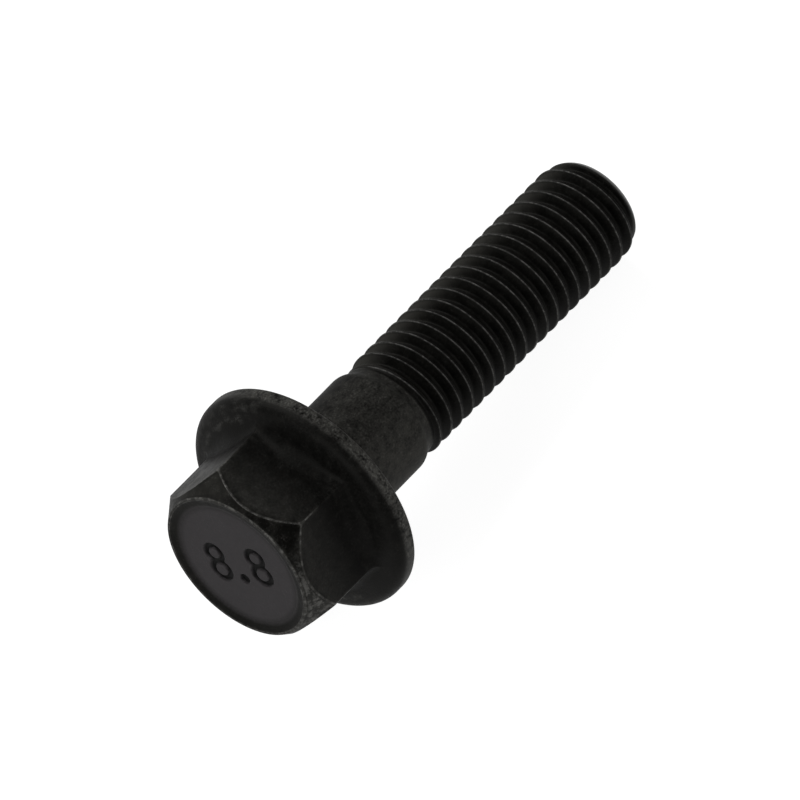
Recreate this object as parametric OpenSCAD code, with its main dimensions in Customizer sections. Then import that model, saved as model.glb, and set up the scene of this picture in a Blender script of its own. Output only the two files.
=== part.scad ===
// Hexagon flange bolt, forged and rolled in one piece.
// The bolt lies on its flange rim and on its last thread, as it comes to rest on a table.
// The origin is the centre of the bearing face, +X points to the head, and +Z is up.

/* [Shank] */
// Length from the bearing face to the tip
bolt_l = 47; // [35:0.1:80]
// Diameter of the plain shank
shank_d = 11.95; // [11.85:0.05:12.4]
// Length of the plain shank, from the bearing face to the start of the taper
plain_l = 10.6; // [5:0.1:16]
// Length of the rounded taper from the plain shank down to the neck
taper_l = 1.8; // [1:0.1:3]
// Diameter of the neck, where the thread starts
neck_d = 10.9; // [10.6:0.05:11.3]
// Radius of the fillet under the head
under_fillet = 0.6; // [0.3:0.05:1]

/* [Thread] */
// Diameter over the thread's crests
crest_d = 11.66; // [11.5:0.02:11.85]
// Distance from one crest to the next
pitch = 1.75; // [1.25:0.05:2]
// Depth of the groove below the crests
thread_depth = 0.92; // [0.6:0.02:1.05]
// Length over which the thread rises out of the neck
runout_l = 0.9; // [0.6:0.1:4]
// Length of the rounded end
tip_l = 3; // [1:0.1:4]
// Diameter of the flat end
tip_d = 8.5; // [7.5:0.1:10]
// Turn of the thread about the bolt's axis
thread_turn = 3; // [0:1:359]

/* [Head] */
// Distance across the hexagon's flats
flats = 17.6; // [17.2:0.1:18.5]
// Height of the head above the bearing face
head_h = 12; // [10:0.05:14]
// Diameter of the flat top inside the chamfer
top_d = 16.8; // [16.6:0.1:17.2]
// Angle of the chamfer from the top face
chamfer_angle = 57; // [30:1:65]
// Radius of the hollow blend from the flats to the flange
blend_r = 2; // [1:0.1:2.6]
// How far the corners spread in the blend, as a share of how far the flats do
corner_spread = 0.4; // [0.2:0.05:0.6]
// Turn of the hexagon about the bolt's axis
hex_turn = 29; // [0:1:59]

/* [Flange] */
// Diameter of the flange
flange_d = 25.7; // [25:0.05:27.5]
// Height of the flange's rim
rim_h = 2.6; // [2:0.1:3]
// Radius of the rim's edge at the bearing face
rim_low_r = 0.4; // [0.2:0.05:0.5]
// Radius of the rim's upper edge
rim_top_r = 1.4; // [0.3:0.05:1.5]
// Slope of the flange's top, from the rim up to the flats
flange_slope = 13; // [8:1:24]

/* [Dish] */
// Diameter of the dish sunk in the top, at its rim
dish_d = 16.4; // [14:0.1:16.5]
// Depth of the dish
dish_depth = 0.35; // [0.3:0.05:1]
// Width of the dish's sloping wall
dish_wall = 1.1; // [0.6:0.1:2]

/* [Strength mark] */
// Height of the sunk numerals
mark_h = 4.6; // [3:0.1:6]
// Width of the numerals' strokes
mark_stroke = 0.55; // [0.3:0.05:0.7]
// Depth of the strokes below the dish's floor
mark_depth = 0.25; // [0.1:0.05:0.4]
// Distance between the two numerals
mark_gap = 5.6; // [4.4:0.1:6.4]
// Turn of the mark about the bolt's axis
mark_turn = 235; // [0:5:355]

/* [Hidden] */
$fn = 96;
steel_black = "#2a2a2b";
// How far a cut or a hidden end runs past the surface it meets
overrun = 1;

// Radii
shank_r = shank_d / 2;
neck_r = neck_d / 2;
crest_r = crest_d / 2;
root_r = crest_r - thread_depth;
tip_r = tip_d / 2;
flat_r = flats / 2;
flange_r = flange_d / 2;
neck_z = plain_l + taper_l;

// Points of an arc about [r, z], with angles measured from the outward direction
arc_steps = 6;
function arc(centre, radius, from, to) =
    [for (k = [0:arc_steps])
        let (a = from + (to - from) * k / arc_steps)
        centre + radius * [cos(a), sin(a)]];

// Height of the flange's sloping top at a radius
slope_start_r = flange_r - rim_top_r * (1 - sin(flange_slope));
slope_start_z = -rim_h + rim_top_r * (1 - cos(flange_slope));
function slope_z(r) = slope_start_z - (slope_start_r - r) * tan(flange_slope);

// The flange, in section
function flange_section() = concat(
    [[0, 0], [flange_r - rim_low_r, 0]],
    arc([flange_r - rim_low_r, -rim_low_r], rim_low_r, 90, 0),
    arc([flange_r - rim_top_r, -rim_h + rim_top_r], rim_top_r, 0, -90 + flange_slope),
    [[flat_r / 2, slope_z(flat_r / 2)], [0, slope_z(flat_r / 2)]]);

// The plain shank, in section: the fillet under the head, the shank and the rounded taper
shoulder_drop = shank_r - neck_r;
shoulder_r = (shoulder_drop * shoulder_drop + taper_l * taper_l) / (4 * shoulder_drop);
shoulder_span = asin(taper_l / (2 * shoulder_r));
function shank_section() = concat(
    [[0, -overrun], [shank_r + under_fillet, -overrun]],
    arc([shank_r + under_fillet, under_fillet], under_fillet, 270, 180),
    arc([shank_r - shoulder_r, plain_l], shoulder_r, 0, shoulder_span),
    arc([neck_r + shoulder_r, neck_z], shoulder_r, 180 + shoulder_span, 180),
    [[0, neck_z]]);

// The thread is one helical strip of rows, four to a turn: two edges of the crest and two of the root
thread_steps = 36;
row_z = [-3 / 8, -1 / 16, 1 / 16, 3 / 8];
row_r = [root_r, crest_r, crest_r, root_r];
rows = len(row_z);
thread_base_z = neck_z - overrun;
// The strip starts this many steps before the neck, so that its points stay clear of the neck's end
thread_hidden = 57;
thread_first_z = neck_z - pitch * thread_hidden / thread_steps;
thread_last = ceil(thread_steps * ((bolt_l - thread_first_z) / pitch + 1));
round_z = bolt_l - tip_l;
// The thread rises from a blank that sits inside the neck
blank_inset = 0.15;
blank_r = neck_r - blank_inset;

function strip_z(i, j) = thread_first_z + pitch * (i / thread_steps + row_z[j]);
function rise(z) = min(1, max(0, (z - neck_z) / runout_l));
function end_r(z) =
    let (t = min(1, max(0, (z - round_z) / tip_l)))
    tip_r + (crest_r - tip_r) * sqrt(1 - t * t);
function strip_r(z, j) = min(blank_r + (row_r[j] - blank_r) * rise(z), end_r(z));
function around(r, i, z) =
    let (a = thread_turn + 360 * i / thread_steps)
    [r * cos(a), r * sin(a), z];

// Points of the strip that pass the base or the tip fall on the ring that closes that end
base_centre = 2 * thread_steps;
tip_centre = base_centre + 1;
function strip_id(i, j) =
    j == rows ? strip_id(i + thread_steps, 0) :
    strip_z(i, j) <= thread_base_z ? i % thread_steps :
    strip_z(i, j) >= bolt_l ? thread_steps + i % thread_steps :
    tip_centre + 1 + rows * i + j;
function is_face(f) = f[0] != f[1] && f[1] != f[2] && f[2] != f[0];

thread_points = concat(
    [for (i = [0:thread_steps - 1]) around(blank_r, i, thread_base_z)],
    [for (i = [0:thread_steps - 1]) around(tip_r, i, bolt_l)],
    [[0, 0, thread_base_z], [0, 0, bolt_l]],
    [for (i = [0:thread_last + thread_steps], j = [0:rows - 1])
        let (z = strip_z(i, j))
        around(strip_r(z, j), i, z)]);
thread_faces = concat(
    [for (i = [0:thread_steps - 1]) [base_centre, i, (i + 1) % thread_steps]],
    [for (i = [0:thread_steps - 1])
        [tip_centre, thread_steps + (i + 1) % thread_steps, thread_steps + i]],
    [for (i = [0:thread_last - 1], j = [0:rows - 1])
        let (a = strip_id(i, j), b = strip_id(i + 1, j))
        let (c = strip_id(i + 1, j + 1), d = strip_id(i, j + 1))
        for (f = [[a, d, c], [a, c, b]]) if (is_face(f)) f]);

// The bolt lies on the side opposite to +X before it is turned down. There the table touches the last
// full crest, at the edge of its flat, and the rounded edge of the flange's rim.
lying_side = 180;
low_start_z = thread_first_z + pitch * ((lying_side - thread_turn) / 360 + row_z[2]);
low_crest_z = low_start_z + pitch * floor((round_z - low_start_z) / pitch);
lie_drop = flange_r - rim_low_r - crest_r;
lie_run = low_crest_z + rim_low_r;
lie_angle = atan(lie_drop / lie_run) + asin(rim_low_r / norm([lie_drop, lie_run]));

// The hexagon's flats spread into the flange through a hollow blend.
// Each level is a ring of corners and mid flats, given by how far its flats have spread and its height.
blend_span = 90 - flange_slope;
blend_end = blend_r * (1 - cos(blend_span));
// The blend's end sinks a little below the flange's top, so that the two cross cleanly
blend_sink = 0.03;
blend_start_z = slope_z(flat_r + blend_end) + blend_sink - blend_r * sin(blend_span);
hex_levels = concat(
    [[0, -head_h - overrun]],
    [for (k = [0:arc_steps])
        let (a = blend_span * k / arc_steps)
        [blend_r * (1 - cos(a)), blend_start_z + blend_r * sin(a)]],
    [[blend_end, -rim_h / 2]]);
hex_last = len(hex_levels) - 1;
hex_sides = 12;
function hex_r(s, spread) =
    s % 2 == 0 ? flat_r / cos(30) + corner_spread * spread : flat_r + spread;
hex_points = [for (level = hex_levels, s = [0:hex_sides - 1])
    let (r = hex_r(s, level[0]), a = hex_turn + 30 * s)
    [r * cos(a), r * sin(a), level[1]]];
hex_faces = concat(
    [[for (s = [0:hex_sides - 1]) s]],
    [[for (s = [0:hex_sides - 1]) hex_sides * (hex_last + 1) - 1 - s]],
    [for (k = [0:hex_last - 1], s = [0:hex_sides - 1])
        let (n = (s + 1) % hex_sides, low = hex_sides * k, high = low + hex_sides)
        for (f = [[low + s, high + s, high + n], [low + s, high + n, low + n]]) f]);

// The envelope that chamfers the hexagon's corners, in section
chamfer_end_z = -head_h + (flange_r - top_d / 2) * tan(chamfer_angle);
function chamfer_section() = [
    [0, -head_h],
    [top_d / 2, -head_h],
    [flange_r, chamfer_end_z],
    [flange_r, 0],
    [0, 0]];

// The dish, in section, and the height of its floor
floor_z = -head_h + dish_depth;
function dish_section() = [
    [0, -head_h - overrun],
    [dish_d / 2, -head_h - overrun],
    [dish_d / 2, -head_h],
    [dish_d / 2 - dish_wall, floor_z],
    [0, floor_z]];

// One numeral of the mark: two sunk rings, one above the other, the upper one a little smaller
upper_ring_share = 0.21;
upper_ring_r = upper_ring_share * mark_h;
lower_ring_r = (mark_h - mark_stroke) / 2 - upper_ring_r;
module sunk_ring(r) {
    rotate_extrude()
        translate([r - mark_stroke / 2, -overrun])
            square([mark_stroke, overrun + mark_depth]);
}

module numeral_eight() {
    translate([0, mark_h / 2 - mark_stroke / 2 - upper_ring_r, 0]) sunk_ring(upper_ring_r);
    translate([0, -mark_h / 2 + mark_stroke / 2 + lower_ring_r, 0]) sunk_ring(lower_ring_r);
}

module strength_mark() {
    translate([0, 0, floor_z]) rotate([0, 0, mark_turn]) mirror([1, 0, 0]) {
        for (side = [-1, 1]) translate([side * mark_gap / 2, 0, 0]) numeral_eight();
        translate([0, mark_stroke - mark_h / 2, -overrun])
            cylinder(r = mark_stroke, h = overrun + mark_depth);
    }
}

module head() {
    difference() {
        union() {
            rotate_extrude() polygon(flange_section());
            intersection() {
                polyhedron(points = hex_points, faces = hex_faces);
                rotate_extrude() polygon(chamfer_section());
            }
        }
        rotate_extrude() polygon(dish_section());
        strength_mark();
    }
}

module shank() {
    rotate_extrude() polygon(shank_section());
    polyhedron(points = thread_points, faces = thread_faces);
}

module flange_bolt() {
    color(steel_black) rotate([0, -90 - lie_angle, 0]) {
        head();
        shank();
    }
}

flange_bolt();
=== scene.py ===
"""A black steel hexagon flange bolt, lying on the pale floor of a small studio.

The bolt is turned, pressed and rolled in its own axis frame, in millimetres: the axis runs along +Z
from the head to the tip, and z = 0 is the bearing face under the flange. It is then laid down into
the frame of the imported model, in metres.
"""

import logging
import math
from collections.abc import Callable
from dataclasses import dataclass, field
from enum import Enum
from typing import Any

import bmesh
import bpy
from mathutils import Euler, Matrix, Vector, noise


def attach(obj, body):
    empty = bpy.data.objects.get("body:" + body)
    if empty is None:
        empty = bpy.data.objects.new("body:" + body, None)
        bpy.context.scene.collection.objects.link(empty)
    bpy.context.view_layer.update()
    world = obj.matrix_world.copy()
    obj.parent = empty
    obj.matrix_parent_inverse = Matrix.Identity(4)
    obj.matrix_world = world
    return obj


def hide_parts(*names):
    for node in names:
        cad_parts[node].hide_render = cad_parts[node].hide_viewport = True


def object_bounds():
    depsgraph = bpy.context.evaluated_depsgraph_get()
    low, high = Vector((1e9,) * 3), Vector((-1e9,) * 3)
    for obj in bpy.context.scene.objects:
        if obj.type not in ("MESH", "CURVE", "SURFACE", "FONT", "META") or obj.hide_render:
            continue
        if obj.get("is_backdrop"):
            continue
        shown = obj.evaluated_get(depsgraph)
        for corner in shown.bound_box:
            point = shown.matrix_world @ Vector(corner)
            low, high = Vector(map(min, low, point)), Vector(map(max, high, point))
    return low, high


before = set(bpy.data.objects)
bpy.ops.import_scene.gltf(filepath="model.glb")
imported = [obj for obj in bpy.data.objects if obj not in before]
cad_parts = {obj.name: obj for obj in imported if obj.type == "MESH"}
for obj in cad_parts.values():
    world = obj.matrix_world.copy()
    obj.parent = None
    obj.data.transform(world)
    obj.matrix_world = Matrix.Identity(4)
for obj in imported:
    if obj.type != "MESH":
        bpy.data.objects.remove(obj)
CAD_LOW, CAD_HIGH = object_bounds()

LOG = logging.getLogger("flange_bolt")
MM = 0.001
SIXTH = math.radians(60)
MERGE_MM = 0.004
CUT_MM = 0.0005


class Zone(Enum):
    """Stretches of the bolt's surface that are finished, worn or given painted light and shade in
    their own way.
    """

    DISH_FLOOR = "dish_floor"
    DISH_WALL = "dish_wall"
    MARK = "mark"
    CHAMFER = "chamfer"
    FLAT = "flat"
    HOLLOW = "hollow"
    FLANGE = "flange"
    RIM = "rim"
    EDGE = "edge"
    SHANK = "shank"
    FLANK = "flank"
    CREST = "crest"
    TIP = "tip"


def clamp(x: float) -> float:
    """Keeps a number between 0 and 1."""
    return min(1.0, max(0.0, x))


def smoothstep(x: float) -> float:
    """Eases a number from 0 to 1."""
    t = clamp(x)
    return t * t * (3 - 2 * t)


def lerp(a: float, b: float, t: float) -> float:
    """Goes from a to b as t goes from 0 to 1."""
    return a + (b - a) * t


@dataclass(frozen=True)
class Corner:
    """A corner of a section, reached by a straight run and rounded by an arc.

    The section's points are (distance from the axis, height along it), in millimetres.
    """

    r: float
    z: float
    run_zone: Zone
    run: int = 1
    radius: float = 0.0
    arc: int = 0
    arc_zone: Zone | None = None


@dataclass(frozen=True)
class Station:
    """One point of a rounded section, with the zone that it belongs to."""

    r: float
    z: float
    zone: Zone


def rounded(corners: list[Corner]) -> list[Station]:
    """Rounds a section's corners and divides its straight runs.

    Args:
        corners: The section's corners in order. The first and the last one stay sharp.

    Returns:
        The stations of the section, always as many for the same runs and arcs.
    """
    points = [Vector((c.r, c.z)) for c in corners]
    stations = [Station(corners[0].r, corners[0].z, corners[0].run_zone)]
    last = points[0]
    for i in range(1, len(corners)):
        corner = corners[i]
        arc: list[Vector] = [points[i]]
        if corner.arc and i + 1 < len(corners):
            back = (points[i - 1] - points[i]).normalized()
            on = (points[i + 1] - points[i]).normalized()
            half = back.angle(on) / 2
            centre = points[i] + (back + on).normalized() * corner.radius / math.sin(half)
            start = points[i] + back * corner.radius / math.tan(half) - centre
            end = points[i] + on * corner.radius / math.tan(half) - centre
            turn = math.atan2(start.x * end.y - start.y * end.x, start.dot(end))
            arc = [
                centre + Matrix.Rotation(turn * k / corner.arc, 2) @ start
                for k in range(corner.arc + 1)
            ]
        for k in range(1, corner.run):
            p = last.lerp(arc[0], k / corner.run)
            stations.append(Station(p.x, p.y, corner.run_zone))
        zone = corner.arc_zone or corner.run_zone
        stations.extend(Station(p.x, p.y, zone) for p in arc)
        last = arc[-1]
    return stations


class Blank:
    """The steel that the bolt is made from: one growing mesh with a layer for each zone."""

    def __init__(self) -> None:
        """Starts an empty mesh with its layers."""
        self.mesh = bmesh.new()
        self.row = self.mesh.verts.layers.int.new("row")
        self.zones = {zone: self.mesh.verts.layers.float.new(zone.value) for zone in Zone}

    def draw(self, stations: list[Station], angle: float) -> list[Any]:
        """Draws a section in the half plane at an angle about the axis.

        Args:
            stations: The points of the section.
            angle: The half plane's angle about the axis, in radians.

        Returns:
            The section's vertices and edges.
        """
        verts = []
        for row, station in enumerate(stations):
            place = (station.r * math.cos(angle), station.r * math.sin(angle), station.z)
            vert = self.mesh.verts.new(place)
            vert[self.row] = row
            vert[self.zones[station.zone]] = 1.0
            verts.append(vert)
        edges = [self.mesh.edges.new(pair) for pair in zip(verts, verts[1:])]
        return verts + edges

    def turn(self, section: list[Any], steps: int, turns: int, advance: float) -> set[Any]:
        """Turns a section about the axis, straight round or along a helix.

        Args:
            section: The section's vertices and edges.
            steps: The number of steps in one turn.
            turns: The number of turns.
            advance: How far one turn moves along the axis, in millimetres.

        Returns:
            The vertices of the turned surface.
        """
        before = set(self.mesh.verts) - set(section)
        bmesh.ops.spin(
            self.mesh,
            geom=section,
            cent=(0, 0, 0),
            axis=(0, 0, 1),
            dvec=(0, 0, advance / steps),
            angle=math.tau,
            steps=steps,
            use_merge=advance == 0,
        )
        first = [v for v in self.mesh.verts if v not in before]
        faces = {f for v in first for f in v.link_faces}
        for turn in range(1, turns):
            copy = bmesh.ops.duplicate(self.mesh, geom=[*first, *faces])["geom"]
            verts = [v for v in copy if isinstance(v, bmesh.types.BMVert)]
            bmesh.ops.translate(self.mesh, vec=(0, 0, advance * turn), verts=verts)
        made = [v for v in self.mesh.verts if v not in before]
        bmesh.ops.remove_doubles(self.mesh, verts=made, dist=MERGE_MM)
        return set(self.mesh.verts) - before

    def cut(self, verts: set[Any], z: float, up: bool) -> set[Any]:
        """Cuts a surface off square to the axis.

        Args:
            verts: The surface's vertices.
            z: The height of the cut.
            up: True to drop what is above the cut, False to drop what is below it.

        Returns:
            The vertices that are left, the new ones on the cut included.
        """
        edges = {e for v in verts for e in v.link_edges}
        faces = {f for v in verts for f in v.link_faces}
        others = set(self.mesh.verts) - verts
        bmesh.ops.bisect_plane(
            self.mesh,
            geom=[*verts, *edges, *faces],
            dist=CUT_MM,
            plane_co=(0, 0, z),
            plane_no=(0, 0, 1 if up else -1),
            clear_outer=True,
        )
        return set(self.mesh.verts) - others

    def open_edges(self, z: float, reach: float) -> list[Any]:
        """Finds the edges of an open end.

        Args:
            z: The height of the end.
            reach: How far from it an edge may be.

        Returns:
            The boundary edges near that height.
        """
        return [
            e
            for e in self.mesh.edges
            if e.is_boundary and all(abs(v.co.z - z) < reach for v in e.verts)
        ]


@dataclass
class Mark:
    """The strength class sunk in the dish: two numerals of two rings each, and a dot."""

    height: float = 4.6
    stroke: float = 0.55
    depth: float = 0.25
    gap: float = 5.6
    turn: float = math.radians(235)
    upper_share: float = 0.21
    softness: float = 0.09

    def reach(self, x: float, y: float) -> float:
        """Measures how far a point of the dish's floor lies outside the strokes.

        Args:
            x: The point's first coordinate, square to the axis.
            y: The point's second coordinate.

        Returns:
            The distance to the nearest stroke's side, below 0 inside the stroke.
        """
        across = -(x * math.cos(self.turn) + y * math.sin(self.turn))
        up = y * math.cos(self.turn) - x * math.sin(self.turn)
        upper = self.upper_share * self.height
        lower = (self.height - self.stroke) / 2 - upper
        top = (self.height - self.stroke) / 2 - upper
        bottom = lower - (self.height - self.stroke) / 2
        side = abs(across) - self.gap / 2
        rings = ((top, upper), (bottom, lower))
        line = min(abs(math.hypot(side, up - centre) - radius) for centre, radius in rings)
        dot = math.hypot(across, up + self.height / 2 - self.stroke)
        return min(line - self.stroke / 2, dot - self.stroke)

    def sink(self, x: float, y: float) -> float:
        """Gives how deep the floor is sunk at a point, from 0 to 1."""
        return 1 - smoothstep(self.reach(x, y) / (2 * self.softness) + 0.5)


@dataclass
class Shank:
    """The plain shank: the fillet under the head, the shank, its shoulder and the neck."""

    diameter: float = 11.95
    plain: float = 10.6
    taper: float = 1.8
    neck_diameter: float = 10.9
    fillet: float = 0.6

    @property
    def radius(self) -> float:
        """Radius of the plain shank."""
        return self.diameter / 2

    @property
    def neck_radius(self) -> float:
        """Radius of the neck."""
        return self.neck_diameter / 2

    @property
    def neck_z(self) -> float:
        """Height at which the neck starts."""
        return self.plain + self.taper

    def corners(self) -> list[Corner]:
        """Gives the shank's stretch of the section, from the bearing face to the neck."""
        drop = self.radius - self.neck_radius
        bend = (drop * drop + self.taper * self.taper) / (4 * drop)
        reach = bend * math.tan(math.asin(self.taper / (2 * bend)) / 2)
        slack = 0.98
        return [
            Corner(self.radius, 0, Zone.FLANGE, 6, self.fillet, 6, Zone.SHANK),
            Corner(self.radius, self.plain + reach, Zone.SHANK, 12, bend * slack, 7),
            Corner(self.neck_radius, self.neck_z - reach, Zone.SHANK, 1, bend * slack, 7),
            Corner(self.neck_radius, self.neck_z, Zone.SHANK, 1),
        ]


@dataclass
class Head:
    """The hexagon with its dish and chamfer, and the flange that it blends into."""

    flats: float = 17.6
    height: float = 12.0
    top_diameter: float = 16.8
    chamfer: float = math.radians(57)
    hex_turn: float = math.radians(29)
    corner_round: float = 0.35
    blend: float = 2.0
    corner_blend: float = 1.1
    flange_diameter: float = 25.7
    rim: float = 2.6
    rim_low: float = 0.4
    rim_top: float = 1.4
    rim_lit: float = 1.75
    rim_fade: float = 0.6
    slope: float = math.radians(13)
    dish_diameter: float = 16.4
    dish_depth: float = 0.35
    dish_wall: float = 1.1
    dish_round: float = 0.6
    dish_edge: float = 0.14
    dish_fine_share: float = 0.65
    dish_shade: float = 0.6
    dish_shade_share: float = 0.4
    top_edge: float = 0.2
    chamfer_edge: float = 0.16
    ridge_width: float = 0.22
    ridge_fade: float = 5.5
    flat_fade: float = 6.5
    corner_flare: float = math.radians(9)
    crowding: float = 0.85
    forging: float = 0.035
    forging_scale: float = 0.28
    mark: Mark = field(default_factory=Mark)

    @property
    def flange_radius(self) -> float:
        """Radius of the flange."""
        return self.flange_diameter / 2

    @property
    def floor_z(self) -> float:
        """Height of the dish's floor."""
        return self.dish_depth - self.height

    def off_corner(self, angle: float) -> float:
        """Gives an angle's distance from the nearest corner of the hexagon, in radians."""
        return abs((angle - self.hex_turn + SIXTH / 2) % SIXTH - SIXTH / 2)

    def crowd(self, angle: float) -> float:
        """Moves an angle towards the nearest corner, where the hexagon needs more vertices."""
        off = angle - self.hex_turn
        return angle - self.crowding / 6 * math.sin(6 * off)

    def hex_radius(self, angle: float) -> float:
        """Gives the distance of the hexagon's side from the axis.

        Args:
            angle: The angle about the axis, in radians.

        Returns:
            The radius on the flat, or on the rounded corner between two flats.
        """
        off = self.off_corner(angle)
        inner = (self.flats / 2 - self.corner_round) / math.cos(SIXTH / 2)
        edge = Vector((inner + self.corner_round * math.cos(SIXTH / 2), self.corner_round / 2))
        if off > math.atan2(edge.y, edge.x):
            return self.flats / 2 / math.cos(SIXTH / 2 - off)
        across = inner * math.sin(off)
        return inner * math.cos(off) + math.sqrt(self.corner_round**2 - across**2)

    def slope_z(self, r: float) -> float:
        """Gives the height of the flange's sloping top at a radius."""
        start_r = self.flange_radius - self.rim_top * (1 - math.sin(self.slope))
        start_z = self.rim_top * (1 - math.cos(self.slope)) - self.rim
        return start_z - (start_r - r) * math.tan(self.slope)

    def corners(self, angle: float) -> list[Corner]:
        """Gives the head's stretch of the section at an angle, from the dish to the bearing face.

        Args:
            angle: The angle about the axis, in radians.

        Returns:
            The corners of the section there.
        """
        side = self.hex_radius(angle)
        top = self.top_diameter / 2
        chamfer_z = (side - top) * math.tan(self.chamfer) - self.height
        towards_flat = smoothstep(self.off_corner(angle) / (SIXTH / 2))
        blend = lerp(self.corner_blend, self.blend, towards_flat)
        floor = self.dish_diameter / 2 - self.dish_wall
        fine = self.dish_fine_share * floor
        dish = self.dish_diameter / 2
        rim = self.flange_radius
        return [
            Corner(0, self.floor_z, Zone.DISH_FLOOR),
            Corner(fine, self.floor_z, Zone.DISH_FLOOR, 54),
            Corner(floor, self.floor_z, Zone.DISH_FLOOR, 5, self.dish_round, 5),
            Corner(dish, -self.height, Zone.DISH_WALL, 3, self.dish_edge, 4, Zone.EDGE),
            Corner(top, -self.height, Zone.CHAMFER, 2, self.top_edge, 4, Zone.EDGE),
            Corner(side, chamfer_z, Zone.CHAMFER, 5, self.chamfer_edge, 5, Zone.EDGE),
            Corner(side, self.slope_z(side), Zone.FLAT, 9, blend, 12, Zone.HOLLOW),
            Corner(rim, self.slope_z(rim), Zone.FLANGE, 7, self.rim_top, 8, Zone.RIM),
            Corner(rim, 0, Zone.RIM, 3, self.rim_low, 5, Zone.RIM),
        ]

    def press(
        self, blank: Blank, verts: set[Any], section: Callable[[float], list[Station]]
    ) -> None:
        """Presses the hexagon, the forging's unevenness and the mark into the turned blank.

        Args:
            blank: The blank to press.
            verts: The vertices of the turned head and shank.
            section: Gives the stations of the section at an angle.
        """
        sections: dict[int, list[Station]] = {}
        zones = blank.zones
        floor = self.dish_diameter / 2 - self.dish_wall
        for vert in verts:
            turned = math.atan2(vert.co.y, vert.co.x)
            column = round(turned / math.tau * FlangeBolt.segments)
            angle = self.crowd(column * math.tau / FlangeBolt.segments)
            if column not in sections:
                sections[column] = section(angle)
            station = sections[column][vert[blank.row]]
            uneven = self.forging * (noise.noise(vert.co * self.forging_scale) - 1) / 2
            r = max(0.0, station.r + uneven * clamp(station.r / self.flats))
            vert.co = (r * math.cos(angle), r * math.sin(angle), station.z)
            off = self.off_corner(angle)
            if station.zone is Zone.FLAT:
                across = off * station.r / self.ridge_width
                fade = smoothstep((self.slope_z(station.r) - station.z) / self.ridge_fade)
                vert[zones[Zone.EDGE]] = math.exp(-across * across) * fade
                # Painted shade: the flats darken into the hollow's colour towards the flange.
                vert[zones[Zone.HOLLOW]] = clamp((station.z + self.height) / self.flat_fade)
            # Painted shade: the hollow is dark except along the corners' ridges.
            if station.zone is Zone.HOLLOW:
                vert[zones[Zone.HOLLOW]] = smoothstep(off / self.corner_flare)
            # Painted highlight and shade: the rim's lower face takes the rim's light colour, and
            # its rounding above rim_lit takes the flange's dark one.
            if station.zone is Zone.RIM:
                lit = smoothstep((station.z + self.rim_lit) / self.rim_fade)
                vert[zones[Zone.RIM]] = lit
                vert[zones[Zone.FLANGE]] = 1 - lit
            if station.zone is Zone.DISH_FLOOR:
                # Painted shade: the floor darkens towards its wall, into the wall's colour.
                shade = smoothstep((station.r + self.dish_shade - floor) / self.dish_shade)
                vert[zones[Zone.DISH_WALL]] = 1.0
                vert[zones[Zone.DISH_FLOOR]] = 1 - self.dish_shade_share * shade
                sunk = self.mark.sink(vert.co.x, vert.co.y)
                vert.co.z += sunk * self.mark.depth
                vert[zones[Zone.MARK]] = sunk


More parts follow.
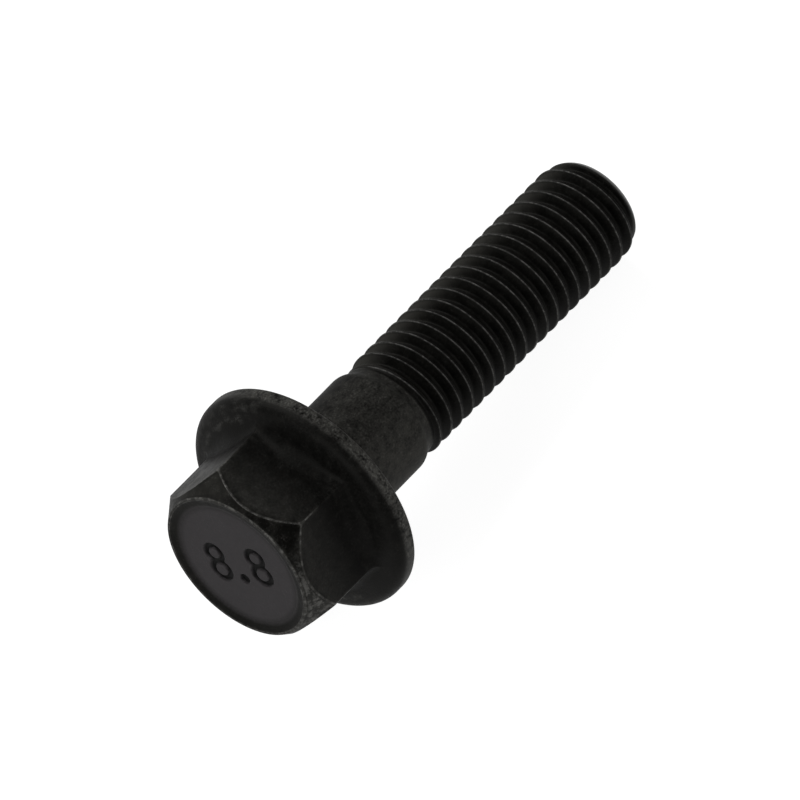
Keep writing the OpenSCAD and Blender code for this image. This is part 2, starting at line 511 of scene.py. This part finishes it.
@dataclass
class Thread:
    """The rolled thread, from its run-out at the neck to the rounded end."""

    crest_diameter: float = 11.66
    pitch: float = 1.75
    depth: float = 0.92
    length: float = 47.0
    runout: float = 0.9
    tip: float = 3.0
    tip_diameter: float = 8.5
    turn: float = math.radians(3)
    hidden_turns: float = 57 / 36
    crest_round: float = 0.05
    root_round: float = 0.14
    join: float = 0.2
    join_slack: float = 1.2
    crest_rise: float = 0.2
    end_inset: float = 0.35
    tip_fade: float = 0.25
    # How far before the end the painted highlight on the tip reaches.
    end_highlight_length: float = 1.15
    inset: float = 0.015
    steps: int = 96

    @property
    def crest(self) -> float:
        """Radius over the crests."""
        return self.crest_diameter / 2

    @property
    def root(self) -> float:
        """Radius at the bottom of the groove."""
        return self.crest - self.depth

    @property
    def crest_half(self) -> float:
        """Half the width of the crest's flat top."""
        return self.pitch / 16

    @property
    def end_z(self) -> float:
        """Height of the end, a hair inside the solid's flat facets as all of the thread is."""
        return self.length - self.inset

    def first_z(self, neck_z: float) -> float:
        """Gives the height of the helix's start, hidden in the shank."""
        return neck_z - self.pitch * self.hidden_turns

    def section(self, start_z: float) -> list[Station]:
        """Gives one pitch of the thread's section, from root to root.

        Args:
            start_z: The height of the crest's middle.

        Returns:
            The stations of the section.
        """
        half, flank, flat = self.pitch / 2, self.pitch * 3 / 8, self.crest_half
        return rounded(
            [
                Corner(self.root, start_z - half, Zone.FLANK),
                Corner(self.root, start_z - flank, Zone.FLANK, 1, self.root_round, 2),
                Corner(self.crest, start_z - flat, Zone.FLANK, 4, self.crest_round, 2, Zone.CREST),
                Corner(self.crest, start_z + flat, Zone.FLANK, 2, self.crest_round, 2),
                Corner(self.root, start_z + flank, Zone.FLANK, 4, self.root_round, 2),
                Corner(self.root, start_z + half, Zone.FLANK, 1),
            ]
        )

    def end_radius(self, z: float) -> float:
        """Gives the largest radius that the rounded end leaves at a height."""
        t = clamp((z - self.end_z + self.tip) / self.tip)
        return lerp(self.tip_diameter / 2, self.crest, math.sqrt(1 - t * t))

    def roll(self, blank: Blank, shank: Shank) -> None:
        """Rolls the thread onto the blank, joins it to the neck and closes its end.

        Args:
            blank: The blank, which already holds the head and the shank.
            shank: The shank that the thread runs out into.
        """
        start_z = self.first_z(shank.neck_z)
        turns = math.ceil((self.length - start_z) / self.pitch) + 1
        section = blank.draw(self.section(start_z), self.turn)
        verts = blank.turn(section, self.steps, turns, self.pitch)
        for vert in verts:
            z = vert.co.z
            rise = smoothstep((z - shank.neck_z - self.join) / self.runout)
            radius = math.hypot(vert.co.x, vert.co.y)
            end = self.end_radius(z)
            kept = min(lerp(shank.neck_radius, radius, rise), end) - self.inset
            vert.co.xy *= kept / radius
            rounded_off = smoothstep((radius - end) / self.tip_fade)
            vert[blank.zones[Zone.CREST]] *= clamp(rise / self.crest_rise) * (1 - rounded_off)
            # Painted highlight: the end and the stretch before it are marked as tip and edge, which
            # the finish paints lighter.
            end_highlight = smoothstep(1 - (self.length - z) / self.end_highlight_length)
            vert[blank.zones[Zone.TIP]] = max(rounded_off, end_highlight)
            vert[blank.zones[Zone.EDGE]] = end_highlight
        verts = blank.cut(verts, shank.neck_z + self.join, up=False)
        blank.cut(verts, self.end_z, up=True)
        seam = blank.open_edges(shank.neck_z, self.join * self.join_slack)
        bmesh.ops.bridge_loops(blank.mesh, edges=seam)
        rim = blank.open_edges(self.end_z, self.inset)
        faces = bmesh.ops.contextual_create(blank.mesh, geom=rim)["faces"]
        bmesh.ops.inset_individual(blank.mesh, faces=faces, thickness=self.end_inset)


Range = tuple[float, float]


class Value:
    """A shader socket that adds Math nodes when it stands in a Python expression."""

    def __init__(self, graph: "Graph", socket: bpy.types.NodeSocket) -> None:
        """Wraps a socket of a graph."""
        self.graph = graph
        self.socket = socket

    def __add__(self, other: "Value | float") -> "Value":
        """Adds a value or a number."""
        return self.graph.math("ADD", self, other)

    def __radd__(self, other: float) -> "Value":
        """Adds this value to a number."""
        return self.graph.math("ADD", other, self)

    def __sub__(self, other: "Value | float") -> "Value":
        """Takes a value or a number away."""
        return self.graph.math("SUBTRACT", self, other)

    def __rsub__(self, other: float) -> "Value":
        """Takes this value away from a number."""
        return self.graph.math("SUBTRACT", other, self)

    def __mul__(self, other: "Value | float") -> "Value":
        """Multiplies by a value or a number."""
        return self.graph.math("MULTIPLY", self, other)

    def __rmul__(self, other: float) -> "Value":
        """Multiplies a number by this value."""
        return self.graph.math("MULTIPLY", other, self)

    def smooth(self, span: Range) -> "Value":
        """Eases from 0 at the start of a span to 1 at its end."""
        node = self.graph.node(
            "ShaderNodeMapRange",
            {"interpolation_type": "SMOOTHSTEP"},
            {"Value": self, "From Min": span[0], "From Max": span[1]},
        )
        return Value(self.graph, node.outputs[0])

    def above(self, low: float) -> "Value":
        """Squeezes 0 to 1 into low to 1."""
        return low + (1 - low) * self


Fed = Value | bpy.types.NodeSocket | float | tuple[float, ...]
Colour = tuple[float, float, float, float]


@dataclass(frozen=True)
class Noise:
    """A noise pattern: features in a millimetre, octaves of finer ones and their strength."""

    scale: float
    detail: float
    rough: float


@dataclass(frozen=True)
class Shares:
    """How strongly something shows: everywhere, and more or less so in some zones."""

    base: float
    zones: dict[Zone, float]


class Graph:
    """A material's or the world's node tree."""

    def __init__(self, tree: bpy.types.NodeTree) -> None:
        """Empties the tree."""
        self.tree = tree
        self.zones_read: dict[Zone, Value] = {}
        tree.nodes.clear()

    def node(self, kind: str, settings: dict[str, Any], inputs: dict[str, Fed]) -> bpy.types.Node:
        """Adds a node.

        Args:
            kind: The node's type.
            settings: The node's own settings, which are set first.
            inputs: Values or links for its sockets, by name or identifier.

        Returns:
            The new node.
        """
        node = self.tree.nodes.new(kind)
        for name, setting in settings.items():
            setattr(node, name, setting)
        for name, fed in inputs.items():
            by_identifier = [s for s in node.inputs if s.identifier == name]
            socket = by_identifier[0] if by_identifier else node.inputs[name]
            source = fed.socket if isinstance(fed, Value) else fed
            if isinstance(source, bpy.types.NodeSocket):
                self.tree.links.new(source, socket)
            else:
                socket.default_value = source
        return node

    def math(self, operation: str, a: Value | float, b: Value | float) -> Value:
        """Adds a Math node on two values."""
        inputs: dict[str, Fed] = {"Value": a, "Value_001": b}
        return Value(self, self.node("ShaderNodeMath", {"operation": operation}, inputs).outputs[0])

    def largest(self, a: Value, b: Value | float) -> Value:
        """Takes the larger of two values."""
        return self.math("MAXIMUM", a, b)

    def blend(self, share: Value | float, a: Fed, b: Fed) -> bpy.types.NodeSocket:
        """Mixes two colours, from a at share 0 to b at share 1."""
        inputs = {"Factor_Float": share, "A_Color": a, "B_Color": b}
        return self.node("ShaderNodeMix", {"data_type": "RGBA"}, inputs).outputs["Result"]

    def scale(self, colour: Fed, share: Value) -> bpy.types.NodeSocket:
        """Makes a colour lighter or darker."""
        inputs = {"Vector": colour, "Scale": share}
        return self.node("ShaderNodeVectorMath", {"operation": "SCALE"}, inputs).outputs[0]

    def place(self, x: Value, y: Value, z: Value) -> bpy.types.NodeSocket:
        """Makes coordinates from three values."""
        return self.node("ShaderNodeCombineXYZ", {}, {"X": x, "Y": y, "Z": z}).outputs[0]

    def noise(self, place: bpy.types.NodeSocket, pattern: Noise) -> Value:
        """Adds a noise pattern at some coordinates, about 0.5 on average."""
        inputs = {
            "Vector": place,
            "Scale": pattern.scale,
            "Detail": pattern.detail,
            "Roughness": pattern.rough,
        }
        return Value(self, self.node("ShaderNodeTexNoise", {}, inputs).outputs[0])

    def zone(self, zone: Zone) -> Value:
        """Reads how far the surface belongs to a zone, from 0 to 1."""
        if zone not in self.zones_read:
            node = self.node("ShaderNodeAttribute", {"attribute_name": zone.value}, {})
            self.zones_read[zone] = Value(self, node.outputs["Fac"])
        return self.zones_read[zone]

    def share(self, shares: Shares) -> Value:
        """Adds up how strongly something shows over the surface."""
        parts = (weight * self.zone(zone) for zone, weight in shares.zones.items())
        return sum(parts, start=shares.base)


def grey(level: float, warmth: float = 0.0) -> Colour:
    """Makes a grey, neutral or a little olive."""
    return (level * (1 + warmth / 4), level, level * (1 - warmth), 1.0)


@dataclass(frozen=True)
class Patterns:
    """The noise patterns and the masks by side that the finish is mixed from.

    near and far start close to the axis, near_side and far_side only on the head's outer flats.
    """

    cloud: Value
    mottle: Value
    grain: Value
    nick: Value
    streak: Value
    ring: Value
    specks: Value
    near: Value
    far: Value
    near_side: Value
    far_side: Value
    low: Value


@dataclass(frozen=True)
class BlackSteel:
    """Black oxide on forged and rolled steel, satin in the dish and worn on its edges, with painted
    light and shade in some zones and on some sides.
    """

    # Painted shade: the flange is darker than the flats, for the head's shade on its top.
    flange: Colour = grey(0.0053, 0.1)
    flat: Colour = grey(0.0215, 0.08)
    # Painted shade: the hollow between the flats and the flange is darker.
    hollow: Colour = grey(0.0048, 0.1)
    chamfer: Colour = grey(0.0034, 0.14)
    dish_floor: Colour = (0.029, 0.0268, 0.028, 1.0)
    # Painted shade: the dish's wall, and a ring of the floor along it, are darker.
    dish_wall: Colour = grey(0.0065, 0.12)
    sunk: Colour = grey(0.003)
    # Painted highlight: the lit band on the rim's outer face; the bare specks on it are wear.
    rim: Colour = grey(0.035, 0.08)
    shank: Colour = grey(0.0225, 0.09)
    # Painted shade: the thread's flanks are darker than the shank, for the shade in its grooves.
    flank: Colour = grey(0.005, 0.12)
    # Painted highlight: the tip's rounded end is lighter than the flanks.
    tip: Colour = grey(0.010, 0.05)
    crest: Colour = grey(0.055, 0.05)
    # Dusty patches; on the near and far sides this grey is also painted sheen and highlight.
    dust_and_sheen: Colour = grey(0.035, 0.12)
    bare: Colour = grey(0.10, 0.06)
    # Painted highlight: the light grey crescent on the end of the tip.
    tip_highlight: Colour = grey(0.18, 0.03)

    metallic: float = 0.5
    specular: float = 0.08
    edge_tint: Colour = grey(0.5)
    bump: float = 0.4
    bump_depth: float = 0.03 * MM
    speck_depth: float = 0.6
    grain_depth: Shares = Shares(1.0, {Zone.DISH_FLOOR: -0.7})
    roughness: Shares = Shares(0.5, {Zone.DISH_FLOOR: -0.08, Zone.SHANK: 0.08, Zone.TIP: -0.2})
    cloud_roughness: float = 0.16
    mottle_roughness: float = 0.3
    grain_roughness: float = 0.3

    cloud_noise: Noise = Noise(0.3, 4, 0.55)
    mottle_noise: Noise = Noise(1.1, 4, 0.6)
    grain_noise: Noise = Noise(4.5, 3, 0.6)
    nick_noise: Noise = Noise(1.6, 3, 0.7)
    streak_noise: Noise = Noise(1.5, 4, 0.7)
    streak_stretch: float = 0.15
    ring_waver: float = 6.0
    side_span: Range = (1.5, 6.0)
    outer_span: Range = (5.0, 8.0)
    low_span: Range = (4.0, 8.0)
    speck_grain: Range = (0.55, 0.72)
    speck_patch: Range = (0.35, 0.65)

    darkest: float = 0.1
    lightness: Shares = Shares(1.0, {Zone.FLAT: 0.2})
    # Painted light and shade by side: the shank is darker on its near side and a little lighter on
    # its far side, and the flats are darker on their far side and on the near outer flat.
    near_painted_light: Shares = Shares(0.0, {Zone.SHANK: -0.8})
    far_painted_light: Shares = Shares(0.0, {Zone.SHANK: 0.1, Zone.FLAT: -0.35})
    near_side_painted_light: Shares = Shares(0.0, {Zone.FLAT: -0.45})
    mottling: Shares = Shares(1.1, {Zone.DISH_FLOOR: -0.6, Zone.RIM: 2.6, Zone.SHANK: 1.0})
    graining: Shares = Shares(1.3, {Zone.DISH_FLOOR: -0.5, Zone.RIM: 2.7, Zone.SHANK: 1.2})

    dusting: Shares = Shares(0.04, {Zone.SHANK: 0.15, Zone.RIM: 0.3, Zone.CHAMFER: 0.1})
    dust_span: Range = (0.45, 0.75)
    # Painted sheen on the near side of the thread's flanks and of the chamfer.
    near_dust_and_sheen: Shares = Shares(0.0, {Zone.CHAMFER: 0.25, Zone.FLANK: 1.0})
    near_dust_and_sheen_span: Range = (-0.3, 0.6)
    # A lighter tone on the flange's lower part, in the dusty grey.
    low_lightening: Shares = Shares(0.0, {Zone.FLANGE: 0.25})
    low_lightening_span: Range = (0.35, 0.7)
    # Dust and painted highlight on the shank's far side, in mottled patches.
    far_dust_and_highlight: Shares = Shares(0.0, {Zone.SHANK: 0.3})
    far_dust_and_highlight_span: Range = (0.42, 0.6)
    smudge: float = 0.25
    smudge_edge: Range = (0.02, 0.6)
    smudge_patch: Range = (0.4, 0.65)

    speckling: Shares = Shares(0.05, {Zone.RIM: 0.6, Zone.SHANK: 0.2, Zone.CHAMFER: 0.12})
    flat_scrape: float = 0.4
    flat_streak: Range = (0.47, 0.68)
    flange_rub: float = 0.35
    flange_ring: Range = (0.4, 0.75)
    chamfer_scrape: float = 0.7
    chamfer_scrape_low: float = 0.2
    chamfer_nick: Range = (0.4, 0.62)
    edge_wear: float = 0.75
    edge_wear_low: float = 0.25
    edge_line: Range = (0.7, 1.0)
    edge_nick: Range = (0.42, 0.66)
    tip_edge: Range = (0.0, 0.3)
    crest_wear_low: float = 0.35
    crest_line: Range = (0.5, 1.0)
    crest_nick: Range = (0.38, 0.6)
    crest_bright_grain: Range = (0.52, 0.68)
    crest_bright_nick: Range = (0.45, 0.6)

    def patterns(self, graph: Graph, lie: float) -> Patterns:
        """Lays the patterns out along the bolt's axis.

        Args:
            graph: The material's node tree.
            lie: The angle of the bolt's axis below the level, in radians.

        Returns:
            The patterns and the masks by side.
        """
        placed = graph.node(
            "ShaderNodeMapping",
            {"vector_type": "POINT"},
            {
                "Vector": graph.node("ShaderNodeTexCoord", {}, {}).outputs["Object"],
                "Rotation": (0.0, lie, 0.0),
                "Scale": (1 / MM,) * 3,
            },
        ).outputs[0]
        axes = graph.node("ShaderNodeSeparateXYZ", {}, {"Vector": placed})
        along, across, up = (Value(graph, axes.outputs[name]) for name in "XYZ")
        cloud = graph.noise(placed, self.cloud_noise)
        mottle = graph.noise(placed, self.mottle_noise)
        grain = graph.noise(placed, self.grain_noise)
        radius = graph.math("SQRT", across * across + up * up, 0.0)
        drawn = graph.place(self.streak_stretch * along, across, up)
        ringed = graph.place(along, radius, self.ring_waver * cloud)
        return Patterns(
            cloud=cloud,
            mottle=mottle,
            grain=grain,
            nick=graph.noise(placed, self.nick_noise),
            streak=graph.noise(drawn, self.streak_noise),
            ring=graph.noise(ringed, self.streak_noise),
            specks=grain.smooth(self.speck_grain) * mottle.smooth(self.speck_patch),
            near=(-1 * across).smooth(self.side_span),
            far=across.smooth(self.side_span),
            near_side=(-1 * across).smooth(self.outer_span),
            far_side=across.smooth(self.outer_span),
            low=(-1 * up).smooth(self.low_span),
        )

    def tone(self, graph: Graph, p: Patterns) -> bpy.types.NodeSocket:
        """Colours the zones, lightens and darkens them by side as painted light and shade, and
        makes them uneven.

        Args:
            graph: The material's node tree.
            p: The patterns.

        Returns:
            The colour of the clean finish.
        """
        tones = {
            Zone.FLAT: self.flat,
            Zone.HOLLOW: self.hollow,
            Zone.CHAMFER: self.chamfer,
            Zone.DISH_WALL: self.dish_wall,
            Zone.DISH_FLOOR: self.dish_floor,
            Zone.RIM: self.rim,
            Zone.SHANK: self.shank,
            Zone.FLANK: self.flank,
            Zone.TIP: self.tip,
            Zone.MARK: self.sunk,
        }
        colour: Fed = self.flange
        for zone, tone in tones.items():
            colour = graph.blend(graph.zone(zone), colour, tone)
        light = graph.share(self.lightness)
        # Painted light and shade: lighter and darker by side.
        light = light + p.near * graph.share(self.near_painted_light)
        light = light + p.far * graph.share(self.far_painted_light)
        light = light + p.near_side * graph.share(self.near_side_painted_light)
        light = light + graph.share(self.mottling) * (p.mottle - 0.5)
        light = light + graph.share(self.graining) * (p.grain - 0.5)
        return graph.scale(colour, graph.largest(light, self.darkest))

    def dusted_and_sheened(self, graph: Graph, p: Patterns, colour: Fed) -> bpy.types.NodeSocket:
        """Lays dusty patches on the finish, painted sheen and highlight on some sides, a lighter
        tone on the flange's lower part, and smudges along the edges.

        Args:
            graph: The material's node tree.
            p: The patterns.
            colour: The colour of the clean finish.

        Returns:
            The colour with its dusty patches and painted sheen.
        """
        dust_and_sheen = p.mottle.smooth(self.dust_span) * graph.share(self.dusting)
        # By side: painted sheen and highlight on the near and far sides, and a lighter tone on the
        # flange's lower part.
        for side, span, shares in (
            (p.near, self.near_dust_and_sheen_span, self.near_dust_and_sheen),
            (p.low, self.low_lightening_span, self.low_lightening),
            (p.far, self.far_dust_and_highlight_span, self.far_dust_and_highlight),
        ):
            dust_and_sheen = dust_and_sheen + side * p.mottle.smooth(span) * graph.share(shares)
        edge = graph.zone(Zone.EDGE).smooth(self.smudge_edge)
        smudges = edge * p.mottle.smooth(self.smudge_patch) * self.smudge
        return graph.blend(graph.largest(dust_and_sheen, smudges), colour, self.dust_and_sheen)

    def worn(self, graph: Graph, p: Patterns, colour: Fed) -> bpy.types.NodeSocket:
        """Wears the finish through to the steel in specks, scrapes, edges and crests, and paints a
        highlight on the tip's end.

        Args:
            graph: The material's node tree.
            p: The patterns.
            colour: The colour with its dusty patches and painted sheen.

        Returns:
            The colour with its wear.
        """
        colour = graph.blend(p.specks * graph.share(self.speckling), colour, self.bare)
        flat = graph.zone(Zone.FLAT) * p.near_side * p.streak.smooth(self.flat_streak)
        rub_and_highlight = p.ring.smooth(self.flange_ring) * p.mottle.smooth(self.speck_patch)
        flange = graph.zone(Zone.FLANGE) * graph.largest(p.near_side, p.low) * rub_and_highlight
        nicked = p.nick.smooth(self.chamfer_nick).above(self.chamfer_scrape_low)
        chamfer = graph.zone(Zone.CHAMFER) * p.far_side * nicked
        scraped = self.flat_scrape * flat + self.flange_rub * flange
        colour = graph.blend(scraped + self.chamfer_scrape * chamfer, colour, self.bare)

        edge = graph.zone(Zone.EDGE)
        nicked = p.nick.smooth(self.edge_nick).above(self.edge_wear_low)
        worn = edge.smooth(self.edge_line) * nicked * self.edge_wear
        colour = graph.blend(worn, colour, self.bare)
        # Painted highlight: the tip's rounded end turns a light grey.
        rub_and_highlight = edge * graph.zone(Zone.TIP).smooth(self.tip_edge)
        colour = graph.blend(rub_and_highlight, colour, self.tip_highlight)

        crest = graph.zone(Zone.CREST).smooth(self.crest_line)
        nicked = p.nick.smooth(self.crest_nick).above(self.crest_wear_low)
        colour = graph.blend(crest * nicked, colour, self.crest)
        bright = p.grain.smooth(self.crest_bright_grain) * p.nick.smooth(self.crest_bright_nick)
        return graph.blend(crest * bright, colour, self.bare)

    def material(self, lie: float) -> bpy.types.Material:
        """Makes the material.

        Args:
            lie: The angle of the bolt's axis below the level, in radians.

        Returns:
            The material, which reads the zones' layers and a pattern along the bolt's axis.
        """
        material = bpy.data.materials.new("black_steel")
        material.use_nodes = True
        graph = Graph(material.node_tree)
        p = self.patterns(graph, lie)
        colour = self.worn(graph, p, self.dusted_and_sheened(graph, p, self.tone(graph, p)))
        rough = graph.share(self.roughness) + self.cloud_roughness * (p.cloud - 0.5)
        rough = rough + self.mottle_roughness * (p.mottle - 0.5)
        rough = rough + self.grain_roughness * (p.grain - 0.5)
        height = p.grain * graph.share(self.grain_depth) + self.speck_depth * p.specks
        bump = graph.node(
            "ShaderNodeBump",
            {},
            {"Strength": self.bump, "Distance": self.bump_depth, "Height": height},
        )
        shader = graph.node(
            "ShaderNodeBsdfPrincipled",
            {},
            {
                "Base Color": colour,
                "Metallic": self.metallic,
                "Specular IOR Level": self.specular,
                "Specular Tint": self.edge_tint,
                "Roughness": rough,
                "Normal": bump.outputs[0],
            },
        )
        graph.node("ShaderNodeOutputMaterial", {}, {"Surface": shader.outputs[0]})
        return material


@dataclass
class FlangeBolt:
    """The whole bolt: one piece of steel with its head, shank and thread."""

    segments = 336
    head: Head = field(default_factory=Head)
    shank: Shank = field(default_factory=Shank)
    thread: Thread = field(default_factory=Thread)
    finish: BlackSteel = field(default_factory=BlackSteel)

    def section(self, angle: float) -> list[Station]:
        """Gives the section from the dish's middle to the neck at an angle about the axis."""
        return rounded(self.head.corners(angle) + self.shank.corners())

    @property
    def lie(self) -> float:
        """The angle at which the axis falls when the bolt lies on its rim and its last crest."""
        head, thread = self.head, self.thread
        start = thread.first_z(self.shank.neck_z)
        low = start + thread.pitch * (math.pi - thread.turn) / math.tau + thread.crest_half
        low += thread.pitch * math.floor((thread.length - thread.tip - low) / thread.pitch)
        drop = head.flange_radius - head.rim_low - thread.crest
        run = low + head.rim_low
        return math.atan2(drop, run) + math.asin(head.rim_low / math.hypot(drop, run))

    def build(self) -> bpy.types.Object:
        """Makes the bolt's mesh, lays it down and dresses it.

        Returns:
            The finished object.
        """
        blank = Blank()
        corner = self.head.hex_turn
        verts = blank.turn(blank.draw(self.section(corner), 0.0), self.segments, 1, 0.0)
        self.head.press(blank, verts, self.section)
        self.thread.roll(blank, self.shank)
        mesh = blank.mesh
        bmesh.ops.recalc_face_normals(mesh, faces=mesh.faces)
        laid = Euler((0, -math.pi / 2 - self.lie, 0)).to_matrix().to_4x4()
        bmesh.ops.transform(mesh, matrix=Matrix.Scale(MM, 4) @ laid, verts=mesh.verts)
        for face in mesh.faces:
            face.smooth = True
        open_edges = sum(not e.is_manifold for e in mesh.edges)
        LOG.info("flange_bolt: %d faces, %d open edges", len(mesh.faces), open_edges)
        data = bpy.data.meshes.new("flange_bolt_steel")
        mesh.to_mesh(data)
        mesh.free()
        bolt = bpy.data.objects.new("flange_bolt_steel", data)
        bpy.context.scene.collection.objects.link(bolt)
        data.materials.append(self.finish.material(self.lie))
        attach(bolt, "root")
        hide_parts("flange_bolt")
        return bolt


def direction(azimuth: float, elevation: float) -> Vector:
    """Gives the direction from the bolt to a place round it.

    Args:
        azimuth: The angle round the bolt in degrees, 0 at -Y and 90 at +X.
        elevation: The angle above the floor in degrees.

    Returns:
        The direction, of length 1.
    """
    a, e = math.radians(azimuth), math.radians(elevation)
    return Vector((math.sin(a) * math.cos(e), -math.cos(a) * math.cos(e), math.sin(e)))


@dataclass(frozen=True)
class SoftBox:
    """A square soft light that faces the bolt."""

    name: str
    azimuth: float
    elevation: float
    distance: float
    size: float
    power: float

    def build(self) -> None:
        """Hangs the light."""
        data = bpy.data.lights.new(self.name, "AREA")
        data.size = self.size
        data.energy = self.power
        lamp = bpy.data.objects.new(self.name, data)
        towards = direction(self.azimuth, self.elevation)
        lamp.location = towards * self.distance
        lamp.rotation_euler = towards.to_track_quat("Z", "Y").to_euler()
        bpy.context.scene.collection.objects.link(lamp)


@dataclass
class Studio:
    """The pale floor, the soft lights and the dim room around them."""

    floor_half: float = 6.0
    floor_colour: Colour = grey(0.92)
    floor_glow: float = 0.7
    glow_strength: float = 1.25
    room: Colour = grey(0.12)
    boxes: tuple[SoftBox, ...] = (
        SoftBox("left_box", 5, 42, 1.2, 0.9, 13.0),
        SoftBox("head_box", 95, 30, 1.3, 0.8, 8.0),
        SoftBox("right_box", 200, 35, 1.4, 0.8, 7.0),
    )

    def floor_material(self) -> bpy.types.Material:
        """Makes the floor's material, which looks white and keeps the shadow."""
        material = bpy.data.materials.new("pale_floor")
        material.use_nodes = True
        graph = Graph(material.node_tree)
        path = graph.node("ShaderNodeLightPath", {}, {})
        camera = Value(graph, path.outputs["Is Camera Ray"])
        glossy = Value(graph, path.outputs["Is Glossy Ray"])
        through = Value(graph, path.outputs["Is Transmission Ray"])
        seen = graph.largest(graph.largest(camera, glossy), through)
        matt = graph.node("ShaderNodeBsdfDiffuse", {}, {"Color": self.floor_colour})
        white = {"Color": grey(1.0), "Strength": self.glow_strength}
        glow = graph.node("ShaderNodeEmission", {}, white)
        mix = graph.node(
            "ShaderNodeMixShader",
            {},
            {
                "Fac": seen * self.floor_glow,
                "Shader": matt.outputs[0],
                "Shader_001": glow.outputs[0],
            },
        )
        graph.node("ShaderNodeOutputMaterial", {}, {"Surface": mix.outputs[0]})
        return material

    def build(self) -> None:
        """Lays the floor, hangs the lights and sets the room's light."""
        mesh = bmesh.new()
        bmesh.ops.create_grid(mesh, x_segments=1, y_segments=1, size=self.floor_half)
        bmesh.ops.translate(mesh, vec=(0, 0, CAD_LOW.z), verts=mesh.verts)
        data = bpy.data.meshes.new("floor")
        mesh.to_mesh(data)
        mesh.free()
        floor = bpy.data.objects.new("floor", data)
        data.materials.append(self.floor_material())
        bpy.context.scene.collection.objects.link(floor)
        floor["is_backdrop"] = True
        for box in self.boxes:
            box.build()
        world = bpy.data.worlds.new("room")
        world.use_nodes = True
        graph = Graph(world.node_tree)
        background = graph.node("ShaderNodeBackground", {}, {"Color": self.room})
        graph.node("ShaderNodeOutputWorld", {}, {"Surface": background.outputs[0]})
        bpy.context.scene.world = world
        bpy.context.scene.view_settings.view_transform = "Standard"


@dataclass
class Camera:
    """A long lens at the photograph's viewing angle."""

    azimuth: float = 127.41
    elevation: float = 60.92
    distance: float = 1.6
    sensor: float = 36.0
    image_px: float = 800.0
    px_per_mm: float = 10.265
    origin_px: tuple[float, float] = (310.7, 491.4)

    def build(self) -> None:
        """Sets the camera up so that the bolt's origin falls on its pixel."""
        data = bpy.data.cameras.new("camera")
        data.sensor_width = self.sensor
        data.lens = self.sensor * self.distance / (self.image_px / self.px_per_mm * MM)
        camera = bpy.data.objects.new("camera", data)
        back = direction(self.azimuth, self.elevation)
        turn = back.to_track_quat("Z", "Y")
        right = self.image_px / 2 - self.origin_px[0]
        up = self.origin_px[1] - self.image_px / 2
        aim = turn @ Vector((right, up, 0)) * (MM / self.px_per_mm)
        camera.location = aim + back * self.distance
        camera.rotation_euler = turn.to_euler()
        bpy.context.scene.collection.objects.link(camera)
        bpy.context.scene.camera = camera


def main() -> None:
    """Builds the bolt, the studio and the camera."""
    logging.basicConfig(level=logging.INFO, format="%(name)s: %(message)s")
    Camera().build()
    Studio().build()
    bolt = FlangeBolt().build()
    low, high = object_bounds()
    LOG.info("%s: %s mm", bolt.name, [round(side / MM, 2) for side in high - low])


if __name__ == "__main__":
    main()
